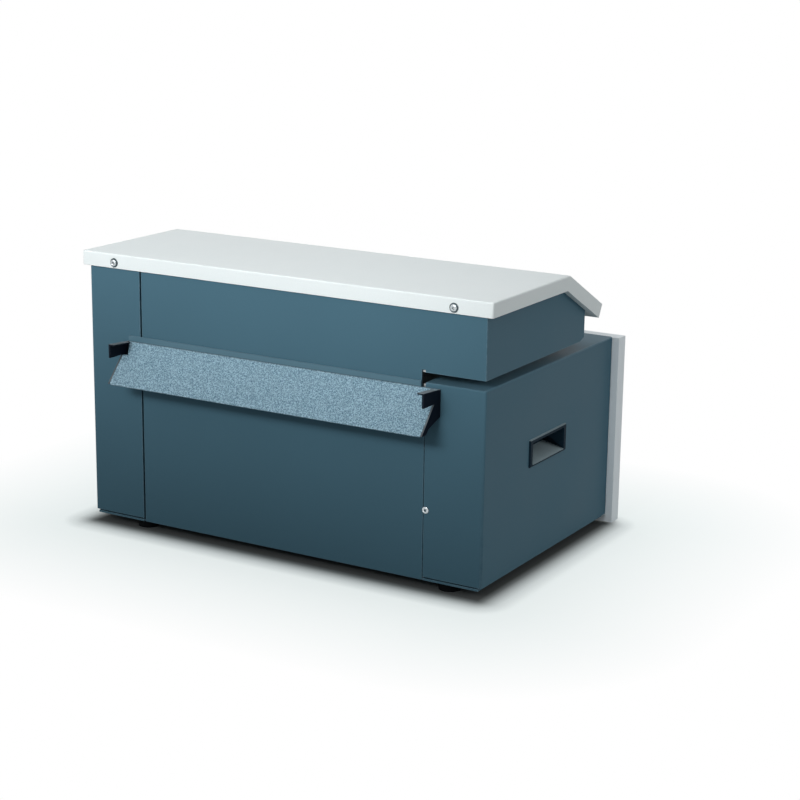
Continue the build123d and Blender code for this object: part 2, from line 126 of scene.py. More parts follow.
# Colours of the finishes
SLATE = (0.069, 0.148, 0.198, 1.0)
SLATE_FLANGE = (0.080, 0.165, 0.215, 1.0)
# Lighter edge colour of the slate paint: worn paint and a painted highlight along the bends
SLATE_WORN_HIGHLIGHT = (0.20, 0.31, 0.38, 1.0)
LIGHT_GREY = (0.79, 0.845, 0.85, 1.0)
WHITE = (0.86, 0.92, 0.955, 1.0)
# Lighter edge colour of the pale paints: worn paint and a painted highlight along the bends
PALE_WORN_HIGHLIGHT = (0.93, 0.96, 0.96, 1.0)
NEAR_BLACK = (0.007, 0.010, 0.018, 1.0)
# Lighter edge colour of the black paint: worn paint and a painted highlight along the bends
BLACK_WORN_HIGHLIGHT = (0.09, 0.12, 0.14, 1.0)
HAMMER_DEEP = (0.060, 0.145, 0.213, 1.0)
HAMMER_PALE = (0.352, 0.535, 0.638, 1.0)
PLASTIC = (0.006, 0.013, 0.026, 1.0)
RUBBER = (0.007, 0.008, 0.009, 1.0)
HANDLE_COLOUR = (0.007, 0.020, 0.033, 1.0)
SHEET_ZINC = (0.50, 0.53, 0.54, 1.0)
GROUND_STEEL = (0.40, 0.41, 0.42, 1.0)
BRIGHT_ZINC = (0.52, 0.56, 0.58, 1.0)
DARK_STEEL = (0.09, 0.115, 0.125, 1.0)
# Dust colours on faces that look up; on the handles, plastics and black paint they are mostly a
# painted sheen
DUST_AND_SHEEN_COLOUR = (0.39, 0.45, 0.48, 1.0)
HANDLE_DUST_AND_SHEEN = (0.33, 0.42, 0.455, 1.0)

# Grain of the finishes: scales are per metre, shares and levels have no unit
NOISE_MIDDLE = 0.5
PEEL_SCALE = 620.0
PEEL_RELIEF = 0.00003
FINE_TO_PEEL = 3.1
THINNEST_DUST_AND_SHEEN = 0.35
HAMMER_SCALE = 560.0
HAMMER_WARP_SCALE = 260.0
HAMMER_WARP = 0.0035
HAMMER_RELIEF = 0.0004
DIMPLE_SHARE = 0.55
SPECK_SHARE = 0.45
SPECK_SCALE = 1050.0
SPECK_HEIGHT = 0.4
LINE_STRETCH = (0.02, 1.0, 1.0)
LINE_SHARE = 0.35
BLOOM_SHARE = 0.2
STEEL_LEVEL = 0.72

# Floor and dome
FLOOR_RADIUS = 6.0
FLOOR_SEGMENTS = 96
FLOOR_COLOUR = (0.93, 0.985, 0.975, 1.0)
FLOOR_BOUNCE = (0.40, 0.42, 0.42, 1.0)
FLOOR_GLOW = (0.93, 0.99, 0.985, 1.0)
FLOOR_LIFT = 0.74
# Painted shadow on the floor round the base of the machine
CONTACT_SHADOW_WIDTH = 0.030
CONTACT_SHADOW_TONE = 0.15
CLEARING_START = 0.008
CLEARING_END = 0.048
FADE_START = 0.04
FADE_END = 0.30
DOME_COLOUR = (0.96, 0.99, 1.0, 1.0)
DOME_STRENGTH = 0.41

# Lights: place, target, size, power and spread in degrees
LIGHTS = {
    "top_light": ((-0.5, 0.30, 2.1), (0.0, 0.0, 0.3), (1.2, 1.2), 4.8, 180.0),
    "front_light": ((-0.28, -1.2, 0.80), (-0.25, -0.168, 0.45), (1.5, 0.25), 2.05, 44.0),
    "side_light": ((2.4, 0.5, 0.9), (0.3, 0.0, 0.25), (1.2, 1.2), 5.5, 180.0),
}

# Camera, solved from the corner points of the housing; lens and sensor are in millimetres
CAMERA_PLACE = (1.3359, -2.1387, 0.8253)
CAMERA_YAW = 0.5312
CAMERA_PITCH = 0.2533
CAMERA_ROLL = 0.0134
CAMERA_LENS = 88.13
CAMERA_SENSOR = 36.0
CAMERA_NEAREST = 0.05
CAMERA_FURTHEST = 50.0


# Shader helpers

def feed(tree, socket, value):
    """A value or a link into one input."""
    if isinstance(value, bpy.types.NodeSocket):
        tree.links.new(value, socket)
    else:
        socket.default_value = value


def shader_node(tree, kind, inputs=None, **settings):
    """A node with its settings; each input gets a value or a link."""
    made = tree.nodes.new(kind)
    for name, value in settings.items():
        setattr(made, name, value)
    for name, value in (inputs or {}).items():
        feed(tree, made.inputs[name], value)
    return made


def maths(tree, operation, first, second=0.0):
    """Result of one sum on numbers or sockets."""
    inputs = {0: first, 1: second}
    return shader_node(tree, "ShaderNodeMath", inputs, operation=operation).outputs[0]


def vector_maths(tree, operation, first, second=(0.0, 0.0, 0.0)):
    """Outputs of one sum on vectors: Vector, or Value for a length or a dot product."""
    inputs = {0: first, 1: second}
    return shader_node(tree, "ShaderNodeVectorMath", inputs, operation=operation).outputs


def scaled(tree, value, factor):
    """A number times another."""
    return maths(tree, "MULTIPLY", value, factor)


def one_minus(tree, value):
    """What a number leaves of 1."""
    return maths(tree, "SUBTRACT", 1.0, value)


def about_middle(tree, value, amount):
    """Noise that swings by the amount around 0."""
    return scaled(tree, maths(tree, "SUBTRACT", value, NOISE_MIDDLE), amount)


def remap(tree, value, low, high, to_low=0.0, to_high=1.0):
    """A value brought from one range to another, clamped."""
    inputs = {"Value": value, "From Min": low, "From Max": high}
    inputs.update({"To Min": to_low, "To Max": to_high})
    return shader_node(tree, "ShaderNodeMapRange", inputs).outputs["Result"]


def tint(tree, blend, factor, first, second):
    """Two colours mixed in one blend mode."""
    mix = tree.nodes.new("ShaderNodeMix")
    mix.data_type = "RGBA"
    mix.blend_type = blend
    for index, value in ((0, factor), (6, first), (7, second)):
        feed(tree, mix.inputs[index], value)
    return mix.outputs[2]


def shaded(tree, colour, level):
    """A colour times one brightness."""
    inputs = {0: level, 1: level, 2: level}
    shade = shader_node(tree, "ShaderNodeCombineColor", inputs).outputs[0]
    return tint(tree, "MULTIPLY", 1.0, colour, shade)


def grey(value):
    """A colour socket's value of one brightness."""
    return (value, value, value, 1.0)


def noise(tree, vector, scale, detail=2.0, roughness=0.5):
    """Noise between about 0.3 and 0.7."""
    inputs = {"Vector": vector, "Scale": scale, "Detail": detail, "Roughness": roughness}
    return shader_node(tree, "ShaderNodeTexNoise", inputs).outputs["Fac"]


def object_place(tree):
    """Place on the object, in metres."""
    return tree.nodes.new("ShaderNodeTexCoord").outputs["Object"]


def upward(tree, vector):
    """The Z of a vector."""
    return shader_node(tree, "ShaderNodeSeparateXYZ", {0: vector}).outputs["Z"]


COLOUR = "NodeSocketColor"
NUMBER = "NodeSocketFloat"


def new_group(name, inputs, outputs):
    """A shader node group with named sockets; returns the tree, its given values and its end."""
    tree = bpy.data.node_groups.new(name, "ShaderNodeTree")
    for socket, kind, value in inputs:
        made = tree.interface.new_socket(socket, in_out="INPUT", socket_type=kind)
        made.default_value = value
    for socket, kind in outputs:
        tree.interface.new_socket(socket, in_out="OUTPUT", socket_type=kind)
    return tree, tree.nodes.new("NodeGroupInput").outputs, tree.nodes.new("NodeGroupOutput")


def give(tree, result, **values):
    """The values that a group gives back."""
    for name, value in values.items():
        tree.links.new(value, result.inputs[name])


# Effects that several finishes share

def build_paint_film():
    """Powder coat: slow tone change, orange peel and a little uneven gloss."""
    inputs = [
        ("Colour", COLOUR, grey(0.5)),
        ("Tone Change", NUMBER, 0.05),
        ("Peel Scale", NUMBER, 500.0),
        ("Roughness", NUMBER, 0.4),
    ]
    outputs = [("Colour", COLOUR), ("Roughness", NUMBER), ("Height", NUMBER)]
    tree, given, result = new_group("Paint film", inputs, outputs)
    place = object_place(tree)
    slow = noise(tree, place, scale=7.0, detail=3.0)
    swing = about_middle(tree, slow, amount=2.0)
    tone = maths(tree, "ADD", scaled(tree, swing, given["Tone Change"]), 1.0)
    peel = noise(tree, place, given["Peel Scale"], detail=2.0)
    fine = noise(tree, place, scaled(tree, given["Peel Scale"], FINE_TO_PEEL), detail=1.0)
    level = maths(tree, "ADD", about_middle(tree, fine, amount=0.12), tone)
    colour = shaded(tree, given["Colour"], level)
    gloss = about_middle(tree, slow, amount=0.25)
    roughness = maths(tree, "ADD", given["Roughness"], gloss)
    height = maths(tree, "ADD", peel, scaled(tree, fine, factor=0.35))
    give(tree, result, Colour=colour, Roughness=roughness, Height=height)
    return tree


def build_edge_wear_and_highlight():
    """Paint thinned along outer edges, broken up by noise, and a painted highlight along the
    same edges.
    """
    inputs = [
        ("Colour", COLOUR, grey(0.5)),
        ("Worn And Highlit Colour", COLOUR, grey(0.6)),
        ("Width", NUMBER, 0.0012),
        ("Amount", NUMBER, 0.3),
    ]
    tree, given, result = new_group("Edge wear and highlight", inputs, [("Colour", COLOUR)])
    sharp = tree.nodes.new("ShaderNodeNewGeometry").outputs["True Normal"]
    soft = shader_node(tree, "ShaderNodeBevel", {"Radius": given["Width"]}, samples=4).outputs[0]
    turned = vector_maths(tree, "DOT_PRODUCT", sharp, soft)["Value"]
    edge = remap(tree, turned, low=0.995, high=0.86)
    patches = noise(tree, object_place(tree), scale=90.0, detail=4.0, roughness=0.65)
    broken = remap(tree, patches, low=0.30, high=0.56)
    mask = scaled(tree, scaled(tree, edge, broken), given["Amount"])
    give(tree, result, Colour=tint(tree, "MIX", mask, given["Colour"], given["Worn And Highlit Colour"]))
    return tree


def build_dust_and_sheen():
    """Dust on faces that look up, which on shiny parts also stands for a painted sheen of the
    light from above.
    """
    inputs = [
        ("Colour", COLOUR, grey(0.5)),
        ("Dust And Sheen Colour", COLOUR, DUST_AND_SHEEN_COLOUR),
        ("Amount", NUMBER, 0.1),
        ("Thinnest", NUMBER, THINNEST_DUST_AND_SHEEN),
        ("Roughness", NUMBER, 0.4),
    ]
    outputs = [("Colour", COLOUR), ("Roughness", NUMBER)]
    tree, given, result = new_group("Dust and sheen", inputs, outputs)
    normal = tree.nodes.new("ShaderNodeNewGeometry").outputs["Normal"]
    # Faces that look up get the most: a dusty film, and on shiny parts a painted sheen of the
    # light from above
    lying = remap(tree, upward(tree, normal), low=0.3, high=0.95)
    cloud = noise(tree, object_place(tree), scale=28.0, detail=5.0, roughness=0.6)
    patches = remap(tree, cloud, low=0.35, high=0.7, to_low=given["Thinnest"])
    mask = scaled(tree, scaled(tree, lying, patches), given["Amount"])
    colour = tint(tree, "MIX", mask, given["Colour"], given["Dust And Sheen Colour"])
    roughness = maths(tree, "ADD", given["Roughness"], scaled(tree, mask, factor=0.6))
    give(tree, result, Colour=colour, Roughness=roughness)
    return tree


def build_moulded_grain():
    """Spark-eroded mould texture of plastic and rubber."""
    inputs = [
        ("Colour", COLOUR, grey(0.03)),
        ("Grain Scale", NUMBER, 1800.0),
        ("Roughness", NUMBER, 0.55),
    ]
    outputs = [("Colour", COLOUR), ("Roughness", NUMBER), ("Height", NUMBER)]
    tree, given, result = new_group("Moulded grain", inputs, outputs)
    place = object_place(tree)
    grain = noise(tree, place, given["Grain Scale"], detail=3.0, roughness=0.6)
    cloud = noise(tree, place, scale=35.0, detail=3.0)
    average = scaled(tree, maths(tree, "ADD", grain, cloud), factor=0.5)
    colour = shaded(tree, given["Colour"], maths(tree, "ADD", average, 1.0 - NOISE_MIDDLE))
    uneven = about_middle(tree, cloud, amount=0.3)
    roughness = maths(tree, "ADD", given["Roughness"], uneven)
    give(tree, result, Colour=colour, Roughness=roughness, Height=grain)
    return tree


def build_drawn_steel():
    """Fine lines left along X by rolling or turning, over a faint bloom of the zinc."""
    inputs = [
        ("Colour", COLOUR, grey(0.5)),
        ("Line Scale", NUMBER, 1200.0),
        ("Roughness", NUMBER, 0.35),
    ]
    outputs = [("Colour", COLOUR), ("Roughness", NUMBER), ("Height", NUMBER)]
    tree, given, result = new_group("Drawn steel", inputs, outputs)
    place = object_place(tree)
    mapping = {"Vector": place, "Scale": LINE_STRETCH}
    stretched = shader_node(tree, "ShaderNodeMapping", mapping).outputs[0]
    lines = noise(tree, stretched, given["Line Scale"], detail=3.0, roughness=0.6)
    bloom = noise(tree, place, scale=60.0, detail=4.0, roughness=0.6)
    line_level = scaled(tree, lines, LINE_SHARE)
    bloom_level = scaled(tree, bloom, BLOOM_SHARE)
    level = maths(tree, "ADD", maths(tree, "ADD", line_level, bloom_level), STEEL_LEVEL)
    colour = shaded(tree, given["Colour"], level)
    uneven = about_middle(tree, bloom, amount=0.15)
    roughness = maths(tree, "ADD", given["Roughness"], uneven)
    give(tree, result, Colour=colour, Roughness=roughness, Height=lines)
    return tree


PAINT_FILM = build_paint_film()
EDGE_WEAR_AND_HIGHLIGHT = build_edge_wear_and_highlight()
DUST_AND_SHEEN = build_dust_and_sheen()
MOULDED_GRAIN = build_moulded_grain()
DRAWN_STEEL = build_drawn_steel()


# Finishes

def place_group(tree, group, inputs):
    """A shared effect with this material's own values."""
    made = tree.nodes.new("ShaderNodeGroup")
    made.node_tree = group
    for name, value in inputs.items():
        feed(tree, made.inputs[name], value)
    return made.outputs


def new_material(name, **settings):
    """A material with one Principled shader; constants are set on its own sockets."""
    material = bpy.data.materials.new(name)
    material.use_nodes = True
    tree = material.node_tree
    shader = tree.nodes["Principled BSDF"]
    for socket, value in settings.items():
        shader.inputs[socket.replace("_", " ")].default_value = value
    return material, tree, shader


def connect(tree, shader, colour, roughness, height, relief, strength=1.0):
    """Colour, roughness and bump into the shader; relief is the height of the grain."""
    tree.links.new(colour, shader.inputs["Base Color"])
    tree.links.new(roughness, shader.inputs["Roughness"])
    bump = {"Strength": strength, "Distance": relief, "Height": height}
    bump = shader_node(tree, "ShaderNodeBump", bump)
    tree.links.new(bump.outputs[0], shader.inputs["Normal"])


def powder_coat(
    name, colour, worn_highlight_colour, roughness, gloss, tone, dust_and_sheen, wear_and_highlight, wear_and_highlight_width, peel_scale=PEEL_SCALE
):
    """Satin powder coat on sheet metal."""
    material, tree, shader = new_material(name, IOR=1.46, Specular_IOR_Level=gloss)
    film = {
        "Colour": colour,
        "Tone Change": tone,
        "Peel Scale": peel_scale,
        "Roughness": roughness,
    }
    film = place_group(tree, PAINT_FILM, film)
    # The edge colour marks worn paint and a painted highlight along the edges
    edge = {"Colour": film["Colour"], "Worn And Highlit Colour": worn_highlight_colour, "Width": wear_and_highlight_width, "Amount": wear_and_highlight}
    edge = place_group(tree, EDGE_WEAR_AND_HIGHLIGHT, edge)
    # A dusty film and a painted sheen on faces that look up
    with_dust_and_sheen = {"Colour": edge["Colour"], "Amount": dust_and_sheen, "Roughness": film["Roughness"]}
    with_dust_and_sheen = place_group(tree, DUST_AND_SHEEN, with_dust_and_sheen)
    connect(tree, shader, with_dust_and_sheen["Colour"], with_dust_and_sheen["Roughness"], film["Height"], PEEL_RELIEF)
    return material


def hammertone():
    """Hammered enamel with pale-rimmed dimples; the upright flange is smooth slate paint, and a
    painted shade line runs along the bend.
    """
    material, tree, shader = new_material("hammertone_paint", IOR=1.5, Specular_IOR_Level=0.3)
    place = object_place(tree)
    warp = {"Vector": place, "Scale": HAMMER_WARP_SCALE, "Detail": 2.0}
    warp = shader_node(tree, "ShaderNodeTexNoise", warp).outputs["Color"]
    offset = vector_maths(tree, "MULTIPLY", warp, (HAMMER_WARP,) * 3)["Vector"]
    bent = vector_maths(tree, "ADD", place, offset)["Vector"]
    cells = {"Vector": bent, "Scale": HAMMER_SCALE, "Randomness": 1.0}
    cells = shader_node(tree, "ShaderNodeTexVoronoi", cells, feature="F1")
    dimple = remap(tree, cells.outputs["Distance"], low=0.1, high=0.75)
    speck = noise(tree, place, SPECK_SCALE, detail=2.0, roughness=0.7)
    speck = remap(tree, speck, low=0.36, high=0.64)
    dimple_level = scaled(tree, dimple, DIMPLE_SHARE)
    speck_level = scaled(tree, speck, SPECK_SHARE)
    level = remap(tree, maths(tree, "ADD", dimple_level, speck_level), low=0.30, high=0.82)
    colour = tint(tree, "MIX", level, HAMMER_DEEP, HAMMER_PALE)
    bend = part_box("deflector")[1][2] - FLANGE_HEIGHT
    height = upward(tree, place)
    flange = remap(tree, height, bend - BEND_BLEND, bend + BEND_BLEND)
    colour = tint(tree, "MIX", flange, colour, SLATE_FLANGE)
    # Painted shade: darker along the bend between flange and slope
    from_bend = maths(tree, "ABSOLUTE", maths(tree, "SUBTRACT", height, bend))
    painted_bend_shade = remap(tree, from_bend, 0.0, BEND_SHADE_WIDTH, to_low=BEND_SHADE_TONE)
    colour = shaded(tree, colour, painted_bend_shade)
    with_dust_and_sheen = place_group(tree, DUST_AND_SHEEN, {"Colour": colour, "Amount": 0.08, "Roughness": 0.40})
    grain = maths(tree, "ADD", dimple, scaled(tree, speck, SPECK_HEIGHT))
    grain = scaled(tree, grain, one_minus(tree, flange))
    roughness = with_dust_and_sheen["Roughness"]
    connect(tree, shader, with_dust_and_sheen["Colour"], roughness, grain, HAMMER_RELIEF, strength=0.7)
    return material


def moulded(
    name, colour, roughness, grain_scale, relief, dust_and_sheen, dust_and_sheen_colour=DUST_AND_SHEEN_COLOUR,
    thinnest=THINNEST_DUST_AND_SHEEN,
):
    """Grained plastic or rubber."""
    material, tree, shader = new_material(name, IOR=1.48, Specular_IOR_Level=0.025)
    grain = {"Colour": colour, "Grain Scale": grain_scale, "Roughness": roughness}
    grain = place_group(tree, MOULDED_GRAIN, grain)
    # A dusty film and a painted sheen on faces that look up
    with_dust_and_sheen = {
        "Colour": grain["Colour"],
        "Dust And Sheen Colour": dust_and_sheen_colour,
        "Amount": dust_and_sheen,
        "Thinnest": thinnest,
        "Roughness": grain["Roughness"],
    }
    with_dust_and_sheen = place_group(tree, DUST_AND_SHEEN, with_dust_and_sheen)
    connect(tree, shader, with_dust_and_sheen["Colour"], with_dust_and_sheen["Roughness"], grain["Height"], relief)
    return material


def bare_steel(name, colour, roughness, line_scale, relief):
    """Zinc-plated or ground steel."""
    material, tree, shader = new_material(name, Metallic=1.0)
    steel = {"Colour": colour, "Line Scale": line_scale, "Roughness": roughness}
    steel = place_group(tree, DRAWN_STEEL, steel)
    connect(tree, shader, steel["Colour"], steel["Roughness"], steel["Height"], relief)
    return material


finishes = {
    "slate_paint": powder_coat(
        "slate_paint", SLATE, SLATE_WORN_HIGHLIGHT,
        roughness=0.42, gloss=0.05, tone=0.04, dust_and_sheen=0.04, wear_and_highlight=0.75, wear_and_highlight_width=0.0016,
    ),
    "light_grey_paint": powder_coat(
        "light_grey_paint", LIGHT_GREY, PALE_WORN_HIGHLIGHT,
        roughness=0.42, gloss=0.2, tone=0.025, dust_and_sheen=0.03, wear_and_highlight=0.9, wear_and_highlight_width=0.0024,
    ),
    "white_paint": powder_coat(
        "white_paint", WHITE, PALE_WORN_HIGHLIGHT,
        roughness=0.45, gloss=0.2, tone=0.03, dust_and_sheen=0.04, wear_and_highlight=0.6, wear_and_highlight_width=0.0016,
    ),
    "hammertone_paint": hammertone(),
    # The black paint's upward faces get a strong painted sheen
    "black_paint": powder_coat(
        "black_paint", NEAR_BLACK, BLACK_WORN_HIGHLIGHT,
        roughness=0.38, gloss=0.04, tone=0.08, dust_and_sheen=0.8, wear_and_highlight=0.5, wear_and_highlight_width=0.0012,
        peel_scale=900.0,
    ),
    "plain_steel": bare_steel(
        "plain_steel", SHEET_ZINC, roughness=0.38, line_scale=900.0, relief=0.00002
    ),
    "roller_steel": bare_steel(
        "roller_steel", GROUND_STEEL, roughness=0.34, line_scale=1500.0, relief=0.00003
    ),
    # Black plastic: a painted sheen and a dusty film on upward faces
    "black_plastic": moulded(
        "black_plastic", PLASTIC, roughness=0.50, grain_scale=1500.0, relief=0.00006, dust_and_sheen=0.40
    ),
    "foot_rubber": moulded(
        "foot_rubber", RUBBER, roughness=0.72, grain_scale=900.0, relief=0.00008, dust_and_sheen=0.10
    ),
}
# Handles: the rim's top bevel and the pocket floor get a blue-grey painted sheen
HANDLE_PLASTIC = moulded(
    "handle_plastic", HANDLE_COLOUR, roughness=0.50, grain_scale=1500.0, relief=0.00006,
    dust_and_sheen=1.0, dust_and_sheen_colour=HANDLE_DUST_AND_SHEEN, thinnest=0.85,
)
SCREW_ZINC = bare_steel(
    "screw_zinc", BRIGHT_ZINC, roughness=0.24, line_scale=1400.0, relief=0.00001
)
WASHER_STEEL = bare_steel(
    "washer_steel", DARK_STEEL, roughness=0.32, line_scale=1400.0, relief=0.00002
)


# Carried-over nodes

def finish_nodes():
    """Each CAD node gets the finish of its record slot."""
    slots = {part["node"]: part["material_slot"] for part in frame["record"]["subparts"]}
    for name, piece in nodes.items():
        for material_slot in piece.material_slots:
            material_slot.material = finishes[slots[name]]


def soften_edges(pieces):
    """Small bend radius on the folded edges of sheet metal."""
    for piece in pieces:
        weld = piece.modifiers.new("weld", "WELD")
        weld.merge_threshold = WELD_DISTANCE
        flat = piece.modifiers.new("flat", "DECIMATE")
        flat.decimate_type = "DISSOLVE"
        flat.angle_limit = math.radians(FLAT_WITHIN_DEGREES)
        bevel = piece.modifiers.new("bevel", "BEVEL")
        bevel.width = BEND_RADIUS
        bevel.segments = BEND_SEGMENTS
        bevel.limit_method = "ANGLE"
        bevel.angle_limit = math.radians(BEND_FROM_DEGREES)
        bevel.use_clamp_overlap = True
        bevel.harden_normals = True


# Mesh helpers

def mesh_object(name, mesh, finish=None):
    """An object in the scene from a bmesh, which it uses up."""
    data = bpy.data.meshes.new(name)
    mesh.to_mesh(data)
    mesh.free()
    made = bpy.data.objects.new(name, data)
    bpy.context.scene.collection.objects.link(made)
    if finish:
        data.materials.append(finish)
    return made


def cut(piece, cutters):
    """The cutters taken out of the piece; they are removed afterwards."""
    for cutter in cutters:
        boolean = piece.modifiers.new("cut", "BOOLEAN")
        boolean.operation = "DIFFERENCE"
        boolean.solver = "EXACT"
        boolean.object = cutter
    bpy.context.view_layer.update()
    evaluated = piece.evaluated_get(bpy.context.evaluated_depsgraph_get())
    finished = bpy.data.meshes.new_from_object(evaluated)
    piece.modifiers.clear()
    piece.data = finished
    for cutter in cutters:
        bpy.data.objects.remove(cutter)


# Handles

def rounded_outline(x, low, high, corner):
    """Rectangle with round corners, across X; low and high are places in Y and Z."""
    points = []
    centres = [
        (high[0] - corner, high[1] - corner),
        (low[0] + corner, high[1] - corner),
        (low[0] + corner, low[1] + corner),
        (high[0] - corner, low[1] + corner),
    ]
    for quarter, (y, z) in enumerate(centres):
        for step in range(CORNER_STEPS + 1):
            angle = math.radians(90 * (quarter + step / CORNER_STEPS))
            points.append((x, y + corner * math.cos(angle), z + corner * math.sin(angle)))
    return points


def leaned(outline, amount):
    """An outline whose two ends lean in towards its middle, by the amount at the top."""
    middle = sum(point[1] for point in outline) / len(outline)
    low = min(point[2] for point in outline)
    height = max(point[2] for point in outline) - low
    points = []
    for x, y, z in outline:
        points.append((x, y + math.copysign(amount * (z - low) / height, middle - y), z))
    return points


def skin(name, outlines, finish):
    """A closed body over a row of outlines; the last band folds up and away from its mouth."""
    mesh = bmesh.new()
    rings = [[mesh.verts.new(point) for point in outline] for outline in outlines]
    for first, second in zip(rings, rings[1:]):
        for step in range(len(first)):
            after = (step + 1) % len(first)
            if second is not rings[-1]:
                mesh.faces.new((first[step], first[after], second[after], second[step]))
                continue
            rises = first[step].co.z <= first[after].co.z
            near, far = (step, after) if rises else (after, step)
            mesh.faces.new((first[near], first[far], second[far]))
            mesh.faces.new((first[near], second[far], second[near]))
    mesh.faces.new(rings[0])
    mesh.faces.new(rings[-1])
    bmesh.ops.recalc_face_normals(mesh, faces=mesh.faces)
    return mesh_object(name, mesh, finish)


def inset(low, high, side, bottom, top):
    """A rectangle in Y and Z made smaller at its ends, bottom and top."""
    return (low[0] + side, low[1] + bottom), (high[0] - side, high[1] - top)


def recessed_handle(node, outward):
    """Tray with a bevelled rim on the cover and a floor that rises towards the back."""
    low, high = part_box(node)
    tip_x, deep_x = (high[0], low[0]) if outward > 0 else (low[0], high[0])
    cover_x = tip_x - outward * HANDLE_PROUD
    wall = HANDLE_TRAY_WALL
    edge = HANDLE_MOUTH_BEVEL
    rim = ((low[1], low[2]), (high[1], high[2]))
    tip = inset(*rim, HANDLE_BEVEL, HANDLE_BEVEL, HANDLE_BEVEL)
    mouth = inset(*rim, HANDLE_END_BAR, HANDLE_BOTTOM_BAR, HANDLE_TOP_BAR)
    lip = inset(*mouth, -edge, -edge, -edge)
    tray = inset(*mouth, -wall, -wall, -wall)
    back = inset(*mouth, 0, HANDLE_FLOOR_RISE, 0)
    pocket_end = rounded_outline(deep_x + outward * wall, *back, HANDLE_MOUTH_CORNER)
    outlines = [
        rounded_outline(deep_x, *tray, HANDLE_RIM_CORNER),
        rounded_outline(cover_x, *tray, HANDLE_RIM_CORNER),
        rounded_outline(cover_x, *rim, HANDLE_RIM_CORNER),
        rounded_outline(tip_x - outward * HANDLE_BEVEL, *rim, HANDLE_RIM_CORNER),
        rounded_outline(tip_x, *tip, HANDLE_RIM_CORNER - HANDLE_BEVEL),
        rounded_outline(tip_x, *lip, HANDLE_MOUTH_CORNER + edge),
        rounded_outline(tip_x - outward * edge, *mouth, HANDLE_MOUTH_CORNER),
        leaned(pocket_end, HANDLE_END_LEAN),
    ]
    made = skin(node + "_tray", outlines, HANDLE_PLASTIC)
    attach(made, "root")
    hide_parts(node)


# Deflector

def notch_cutter(end, inward, front, back, bottom, top):
    """A block over one end of the deflector that reaches further in at its bottom."""
    mesh = bmesh.new()
    bmesh.ops.create_cube(mesh, size=1.0)
    for vertex in mesh.verts:
        across, along, up = vertex.co
        reach = NOTCH_TOP if up > 0 else NOTCH_BOTTOM
        x = end + inward * (reach if across > 0 else -CUTTER_OVERHANG)
        vertex.co = (x, back if along > 0 else front, top if up > 0 else bottom)
    bmesh.ops.recalc_face_normals(mesh, faces=mesh.faces)
    return mesh_object("notch_cutter", mesh)


def notched_deflector():
    """The deflector with both upper corners cut away where the bars of its brackets pass."""
    low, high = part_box("deflector")
    mesh = bmesh.new()
    mesh.from_mesh(nodes["deflector"].data)
    bmesh.ops.remove_doubles(mesh, verts=mesh.verts, dist=WELD_DISTANCE)
    made = mesh_object("deflector_sheet", mesh, finishes["hammertone_paint"])
    top = high[2] - FLANGE_HEIGHT
    bottom = top - NOTCH_DEPTH
    front = low[1] - CUTTER_OVERHANG
    back = high[1] + CUTTER_OVERHANG
    left_cutter = notch_cutter(low[0], 1, front, back, bottom, top)
    right_cutter = notch_cutter(high[0], -1, front, back, bottom, top)
    cut(made, [left_cutter, right_cutter])
    soften_edges([made])
    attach(made, "root")
    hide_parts("deflector")


# Screws

def lathe(name, profile, finish):
    """A closed round body turned about Z from points of radius and height."""
    mesh = bmesh.new()
    rings = []
    turns = [2 * math.pi * step / ROUND_STEPS for step in range(ROUND_STEPS)]
    for radius, height in profile:
        places = [(radius * math.cos(turn), radius * math.sin(turn), height) for turn in turns]
        if radius == 0.0:
            places = [(0.0, 0.0, height)]
        rings.append([mesh.verts.new(place) for place in places])
    for low, high in zip(rings, rings[1:]):
        for step in range(ROUND_STEPS):
            after = (step + 1) % ROUND_STEPS
            lower = [low[step % len(low)], low[after % len(low)]]
            upper = [high[after % len(high)], high[step % len(high)]]
            mesh.faces.new(dict.fromkeys(lower + upper))
    bmesh.ops.recalc_face_normals(mesh, faces=mesh.faces)
    return mesh_object(name, mesh, finish)


def recess_bar(radius, height, turn):
    """One tapered arm of the cross recess, cut down from above the head."""
    mesh = bmesh.new()
    depth = radius * RECESS_DEPTH
    levels = [(height - depth, 1 - RECESS_TAPER), (height + depth, 1 + RECESS_TAPER)]
    for level, share in levels:
        x = radius * RECESS_HALF_LENGTH * share
        y = radius * RECESS_HALF_WIDTH * share
        for across, along in ((-x, -y), (x, -y), (x, y), (-x, y)):
            mesh.verts.new((across, along, level))
    mesh.verts.ensure_lookup_table()
    sides = [(0, 3, 2, 1), (4, 5, 6, 7), (0, 1, 5, 4), (1, 2, 6, 5), (2, 3, 7, 6), (3, 0, 4, 7)]
    for side in sides:
        mesh.faces.new([mesh.verts[index] for index in side])
    bmesh.ops.rotate(mesh, verts=mesh.verts, matrix=Matrix.Rotation(turn, 3, "Z"))
    return mesh_object("recess_cutter", mesh)


def dome_profile(radius, height, base):
    """Pan head: upright rim, then a quarter-round shoulder up to a nearly flat crown."""
    rim = height * HEAD_RIM_SHARE
    crown = radius * HEAD_CROWN_SHARE
    points = [(0.0, base), (radius, base), (radius, base + rim)]
    for step in range(1, SHOULDER_STEPS + 1):
        angle = math.radians(90 * step / SHOULDER_STEPS)
        out = crown + (radius - crown) * math.cos(angle)
        up = rim + (height - rim) * math.sin(angle)
        points.append((out, base + up))
    points.append((0.0, base + height))
    return points


def washer_profile(inner, outer):
    """Flat ring with a chamfer round its upper edge."""
    edge = WASHER_THICKNESS
    chamfer = edge * WASHER_CHAMFER_SHARE
    return [
        (inner, 0.0),
        (outer, 0.0),
        (outer, edge - chamfer),
        (outer - chamfer, edge),
        (inner, edge),
        (inner, 0.0),
    ]


